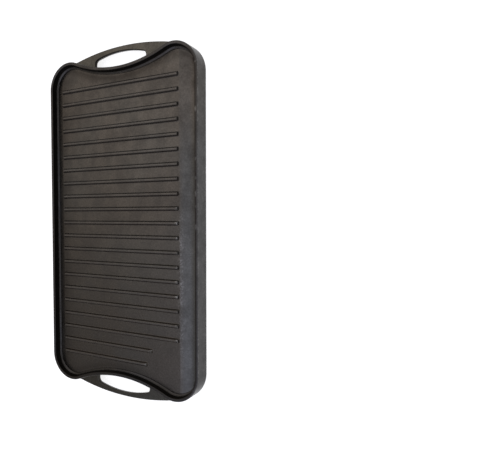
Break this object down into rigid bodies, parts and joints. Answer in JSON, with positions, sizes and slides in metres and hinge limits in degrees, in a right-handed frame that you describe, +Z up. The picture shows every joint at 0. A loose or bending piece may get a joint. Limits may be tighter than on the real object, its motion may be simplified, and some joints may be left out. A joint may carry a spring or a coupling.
{
  "type": "camp griddle plate",
  "caption": "Reversible cast-iron griddle plate: rectangular tray with a raised rim, ribbed grilling face, flat frying face on its back and an end handle with a hand hole at each end.",
  "frame": {"origin": "middle of the plate's footprint, on the surface that the lower crest rests on", "axes": "+X across the plate towards the wide grease gutter, +Y along it towards the rear handle, +Z up out of the ribbed face"},
  "size_m": [0.26, 0.4996, 0.023],
  "materials": {
    "web_iron": "seasoned, satin",
    "wall_iron": "as cast, satin",
    "handle_iron": "as cast, satin",
    "rib_iron": "seasoned, satin"
  },
  "bodies": {
    "root": {"web": "web_iron", "left_wall": "wall_iron", "right_wall": "wall_iron", "rear_wall": "wall_iron", "front_wall": "wall_iron", "rear_left_corner": "wall_iron", "rear_right_corner": "wall_iron", "front_left_corner": "wall_iron", "front_right_corner": "wall_iron", "rear_handle": "handle_iron", "front_handle": "handle_iron", "rib_01": "rib_iron", "rib_02": "rib_iron", "rib_03": "rib_iron", "rib_04": "rib_iron", "rib_05": "rib_iron", "rib_06": "rib_iron", "rib_07": "rib_iron", "rib_08": "rib_iron", "rib_09": "rib_iron", "rib_10": "rib_iron", "rib_11": "rib_iron", "rib_12": "rib_iron", "rib_13": "rib_iron", "rib_14": "rib_iron", "rib_15": "rib_iron", "rib_16": "rib_iron", "rib_17": "rib_iron", "rib_18": "rib_iron", "rib_19": "rib_iron", "rib_20": "rib_iron", "rib_21": "rib_iron"}
  },
  "joints": []
}
